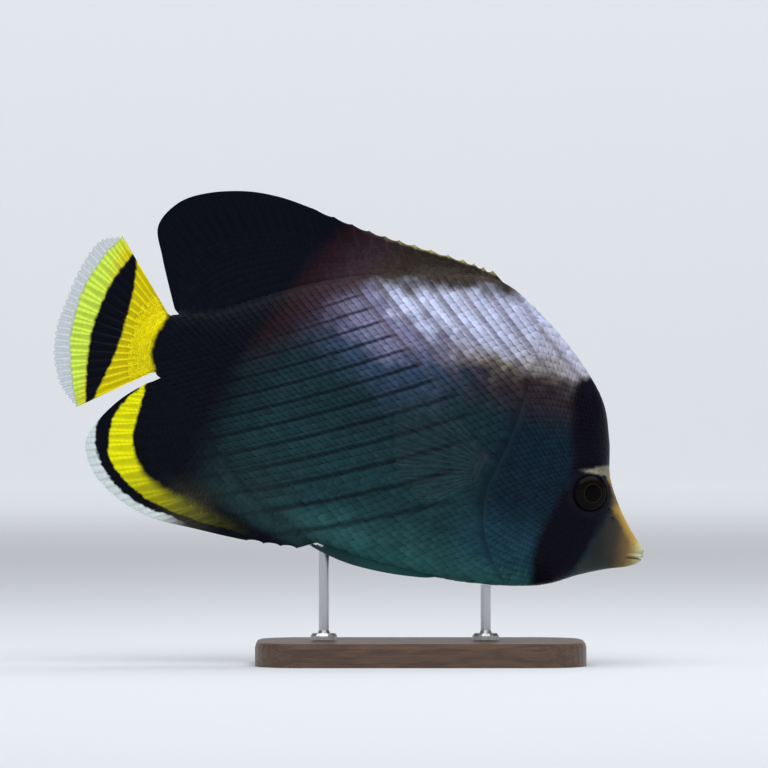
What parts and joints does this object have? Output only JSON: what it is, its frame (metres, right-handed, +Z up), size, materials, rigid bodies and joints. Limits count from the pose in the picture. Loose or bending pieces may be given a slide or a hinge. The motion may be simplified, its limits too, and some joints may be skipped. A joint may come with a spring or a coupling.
{
  "type": "vagabond butterflyfish model on stand",
  "caption": "Life-size still model of an Indian vagabond butterflyfish, nose slightly down, held above a flat base by slim rods.",
  "frame": {"origin": "centre of the underside of the stand's flat base", "axes": "+X towards the fish's snout, +Y towards its left side, +Z up"},
  "size_m": [0.1511, 0.046, 0.1207],
  "materials": {
    "skin": "painted skin, pale grey with thin dark lines, a black band over the eye and a black rear",
    "fin": "painted fins with raised rays: black with yellow and white bands, the pelvic fins teal like the belly",
    "clear_fin": "clear, with fine pale rays",
    "eye": "polished black with a dark brown ring",
    "stand_wood": "satin dark walnut",
    "stand_steel": "brushed"
  },
  "bodies": {
    "root": {"head": "skin", "torso": "skin", "tail_stem": "skin", "dorsal_fin_spines": "fin", "dorsal_fin_soft": "fin", "anal_fin": "fin", "caudal_fin": "fin", "pectoral_fin_left": "clear_fin", "pectoral_fin_right": "clear_fin", "pelvic_fin_left": "fin", "pelvic_fin_right": "fin", "eye_left": "eye", "eye_right": "eye", "stand_base": "stand_wood", "stand_rod_front": "stand_steel", "stand_rod_rear": "stand_steel"}
  },
  "joints": []
}
